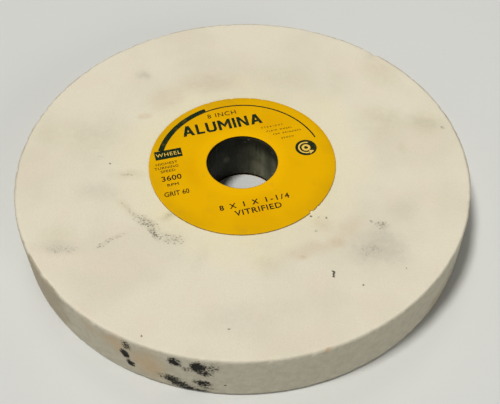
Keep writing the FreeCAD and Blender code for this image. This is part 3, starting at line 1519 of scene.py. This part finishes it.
@dataclass
class BlotterPrint:
    """The print on a blotter: a curved band, a size, a speed, plain words and a sign.

    Sizes and places are in millimetres from the label's centre, bearings in degrees.
    """

    side: Side
    green: bpy.types.Material
    black: bpy.types.Material
    bare: bpy.types.Material
    slot: str = "blotter_paper"
    turn: float = 12.8
    thickness: float = 0.02
    sunk: float = 0.004
    band_radii: Triple = (36.4, 37.1, 39.0)
    band_bearings: Triple = (10, 104, 156)
    plate_corners: tuple[float, float, float, float] = (-37.6, 10.0, -25.2, 15.4)
    sign_centre: Span = (30.2, 1.0)
    sign_radius: float = 4.9
    sign_corners: int = 64
    sign_wheel: Span = (0.9, 2.0)
    sign_arrow: tuple[float, float, float, float] = (2.9, 3.6, 60, 290)
    sign_point: tuple[Span, ...] = ((0.9, -4.3), (3.1, -2.6), (0.9, -1.9))
    title: Line = Line("ALUMINA", 6.7, -3.6, 25.0, squeeze=0.94)
    plate_word: Line = Line("WHEEL", 2.2, -31.4, 12.7, 0.0, 1.0, 1.15)
    words: tuple[Line, ...] = (
        Line("8 INCH", 2.7, -2.2, 32.1, 0.010, 1.0, 1.15),
        Line("HIGHEST", 1.45, -33.2, 7.2, 0.015, 1.1, 1.1),
        Line("TURNING", 1.45, -33.7, 4.8, 0.015, 1.1, 1.1),
        Line("SPEED", 1.45, -33.4, 2.5, 0.015, 1.1, 1.1),
        Line("3600", 2.9, -32.6, -1.9, 0.025, 1.05, 1.05),
        Line("RPM", 1.5, -32.7, -6.0, 0.03, 1.25, 1.1),
        Line("GRIT 60", 2.6, -32.0, -11.2, 0.02, 0.85),
        Line("8 X 1 X 1-1/4", 2.7, -0.6, -24.6, 0.035, 1.0, 1.38),
        Line("VITRIFIED", 2.9, 0.0, -29.0, 0.025, 1.05, 1.1),
        Line("STRAIGHT", 0.9, 18.9, 18.4, 0.035, 1.0, 1.9),
        Line("PLAIN WHEEL", 0.9, 21.6, 15.5, 0.035, 1.0, 1.6),
        Line("FOR GRINDERS", 0.9, 24.6, 12.9, 0.035, 1.0, 1.6),
        Line("BENCH", 0.9, 23.9, 9.7, 0.035, 1.0, 1.6),
    )

    def lay(self, sheet: InkSheet, material: bpy.types.Material, lift: float) -> None:
        """Place one sheet of ink on this side's paper.

        Args:
            sheet: The ink.
            material: Its finish.
            lift: Height above the rest of the print, in millimetres.
        """
        low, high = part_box(f"{self.side.value}_blotter")
        level = high.z if self.side is Side.FRONT else low.z
        lifted = Matrix.Translation((0, 0, (lift - self.sunk) * MM))
        turned = Matrix.Rotation(math.radians(self.turn), 4, "Z")
        mesh = sheet.mesh(self.side.stand(level) @ lifted @ turned)
        set_down(sheet.name, mesh, material, self.slot)

    def draw_band(self, sheet: InkSheet) -> None:
        """Draw a curved band over the left of the label that goes on as a thin line.

        Args:
            sheet: The ink to draw in.
        """
        inner, thin, thick = self.band_radii
        start, step, end = self.band_bearings
        sides = arc(thin, start, step), arc(thick, step, end), arc(inner, end, start)
        sheet.polygon(np.vstack(sides))

    def draw_title(self, sheet: InkSheet) -> None:
        """Write the material's name in heavy plain capitals."""
        sheet.heading(self.title)

    def draw_plate(self, sheet: InkSheet) -> None:
        """Draw a dark plate at the end of the band."""
        left, low, right, high = self.plate_corners
        sheet.polygon(np.array(((left, low), (right, low), (right, high), (left, high))))

    def draw_words(self, sheet: InkSheet) -> None:
        """Write the small lines of print."""
        for line in self.words:
            sheet.write(line)

    def draw_sign(self, sheet: InkSheet) -> None:
        """Draw the dark ground of a round sign."""
        edge = arc(self.sign_radius, 0, FULL_TURN, FULL_TURN / self.sign_corners)[:-1]
        sheet.polygon(edge + self.sign_centre)

    def draw_reversed(self, sheet: InkSheet) -> None:
        """Draw the light parts on dark ink: the plate's word, and a wheel with an arrow round it.

        Args:
            sheet: The ink to draw in.
        """
        sheet.write(self.plate_word)
        sheet.sector(*self.sign_wheel, 0, FULL_TURN, self.sign_centre)
        sheet.sector(*self.sign_arrow, self.sign_centre)
        sheet.polygon(np.array(self.sign_point) + self.sign_centre)

    def build(self) -> None:
        """Lay on every part of the print."""
        parts = (("band", self.draw_band, self.green, 0.0),
                 ("title", self.draw_title, self.green, 0.0),
                 ("plate", self.draw_plate, self.green, 0.0),
                 ("words", self.draw_words, self.black, 0.0),
                 ("sign", self.draw_sign, self.green, 0.0),
                 ("reversed_out", self.draw_reversed, self.bare, self.thickness))
        for part, draw, ink, lift in parts:
            sheet = InkSheet(f"{self.side.value}_print_{part}", self.thickness)
            draw(sheet)
            self.lay(sheet, ink, lift)


# ---------------------------------------------------------------- paste

@dataclass
class PasteFilms:
    """The paste under both blotters, which keeps its frame shape."""

    nodes: tuple[str, ...] = ("front_paste_film", "back_paste_film")

    def dress(self) -> None:
        """Give each film its finish."""
        material = PasteFinish().make()
        for node in self.nodes:
            film = frame["nodes"][node]
            film.data.materials.clear()
            film.data.materials.append(material)
            log.info("%s: dressed", node)


# ---------------------------------------------------------------- studio

@dataclass(frozen=True)
class Lamp:
    """A soft square lamp that faces the wheel.

    Its bearing is anticlockwise from +X and its elevation is above the horizon, both in
    degrees. The distance and the size are in metres and the power is in watts.
    """

    name: str
    bearing: float
    elevation: float
    distance: float
    size: float
    power: float
    colour: Triple = (1.0, 0.99, 0.98)

    def light(self) -> bpy.types.Light:
        """Make the light.

        Returns:
            The light, not yet placed.
        """
        light = bpy.data.lights.new(self.name, "AREA")
        light.shape = "SQUARE"
        light.size = self.size
        light.energy = self.power
        light.color = self.colour
        return light


@dataclass(frozen=True)
class Window:
    """Even light from one direction.

    Its bearing is anticlockwise from +X and its elevation is above the horizon. The spread is
    how wide it looks from the wheel, which softens the shadows. All three are in degrees, and
    the strength is in watts per square metre.
    """

    name: str
    bearing: float
    elevation: float
    spread: float
    strength: float
    colour: Triple = (1.0, 0.985, 0.965)
    distance: float = 1.0

    def light(self) -> bpy.types.Light:
        """Make the light.

        Returns:
            The light, not yet placed.
        """
        light = bpy.data.lights.new(self.name, "SUN")
        light.angle = math.radians(self.spread)
        light.energy = self.strength
        light.color = self.colour
        return light


@dataclass
class Studio:
    """Pale table, soft light from the upper left and the camera."""

    reach: float = 4.0
    clearance: float = 0.05 * MM
    distance: float = 0.3713
    bearing: float = -90
    elevation: float = 48.06
    aim: Triple = (0.0031, -0.0129, 0.0)
    roll: float = -0.75
    lens: float = 57.8
    clip: Span = (0.01, 50)
    ambient: float = 0.12
    haze: float = 0.5
    haze_heights: Span = (0.30, 0.02)
    wall: Tint = srgb(236, 236, 232)
    lights: tuple[Window | Lamp, ...] = (
        Window("high_window", 203, 71, 11.4, 2.25),
        Lamp("near_right", 306, 26, 1.8, 0.5, 4.9),
        Lamp("far_side", 100, 62, 2.0, 0.6, 3.4),
    )

    def __post_init__(self) -> None:
        """Find the middle of the wheel."""
        low, high = CAD_BOX
        self.centre = (low + high) / 2
        self.floor_level = low.z - self.clearance

    def towards(self, bearing: float, elevation: float) -> Vector:
        """Unit vector towards a bearing and an elevation, in degrees."""
        rise = math.radians(elevation)
        return Vector((*polar(math.cos(rise), bearing), math.sin(rise)))

    def camera(self) -> None:
        """Set up the camera, looking down and along +Y."""
        data = bpy.data.cameras.new("camera")
        data.lens = self.lens
        data.clip_start, data.clip_end = self.clip
        camera = bpy.data.objects.new("camera", data)
        camera.location = self.centre + self.towards(self.bearing, self.elevation) * self.distance
        aim = self.centre + Vector(self.aim)
        look = (aim - camera.location).to_track_quat("-Z", "Y").to_matrix()
        rolled = look @ Matrix.Rotation(math.radians(self.roll), 3, "Z")
        camera.rotation_mode = "QUATERNION"
        camera.rotation_quaternion = rolled.to_quaternion()
        bpy.context.scene.collection.objects.link(camera)
        bpy.context.scene.camera = camera

    def floor(self) -> None:
        """Lay the table top."""
        corners = ((-1, -1), (1, -1), (1, 1), (-1, 1))
        mesh = bpy.data.meshes.new("table_top")
        points = [(x * self.reach, y * self.reach, self.floor_level) for x, y in corners]
        mesh.from_pydata(points, [], [(0, 1, 2, 3)])
        mesh.materials.append(FloorFinish().make())
        table = bpy.data.objects.new("table_top", mesh)
        bpy.context.scene.collection.objects.link(table)

    def light(self) -> None:
        """Hang every light facing the wheel and out of the camera's sight."""
        for source in self.lights:
            towards = self.towards(source.bearing, source.elevation)
            lamp = bpy.data.objects.new(source.name, source.light())
            lamp.location = self.centre + towards * source.distance
            lamp.rotation_mode = "QUATERNION"
            lamp.rotation_quaternion = towards.to_track_quat("Z", "Y")
            lamp.visible_camera = False
            bpy.context.scene.collection.objects.link(lamp)

    def surroundings(self) -> None:
        """Wrap the table in a dim room that pales towards the horizon."""
        world = bpy.data.worlds.new("surroundings")
        world.use_nodes = True
        sky = Nodes(world.node_tree)
        place = sky.node("ShaderNodeTexCoord", {}, {}, "Generated")
        height = sky.node("ShaderNodeSeparateXYZ", {}, {"Vector": place}, "Z")
        strength = height.between(*self.haze_heights) * self.haze + self.ambient
        glow = sky.node("ShaderNodeBackground", {}, {"Color": self.wall, "Strength": strength})
        sky.node("ShaderNodeOutputWorld", {}, {"Surface": glow})
        bpy.context.scene.world = world
        bpy.context.scene.view_settings.view_transform = "Standard"

    def build(self) -> None:
        """Set up everything that isn't part of the wheel."""
        self.camera()
        self.floor()
        self.light()
        self.surroundings()
        log.info("studio: camera, table and %d lights", len(self.lights))


# ---------------------------------------------------------------- everything in order


def main() -> None:
    """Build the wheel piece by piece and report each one."""
    logging.basicConfig(level=logging.INFO, format="%(name)s: %(message)s")
    Studio().build()
    AbrasiveBody().build()
    BoreBush().build()
    pasted_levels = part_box("back_blotter")[1].z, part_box("front_blotter")[0].z
    paper = PaperFinish(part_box("front_blotter")[1].x, PAPER_HOLE_RADIUS, pasted_levels).make()
    inks = [ink.make() for ink in (GREEN_INK, BLACK_INK, BARE_PAPER)]
    for side in Side:
        Blotter(side, paper).build()
        BlotterPrint(side, *inks).build()
    PasteFilms().dress()


if __name__ == "__main__":
    main()
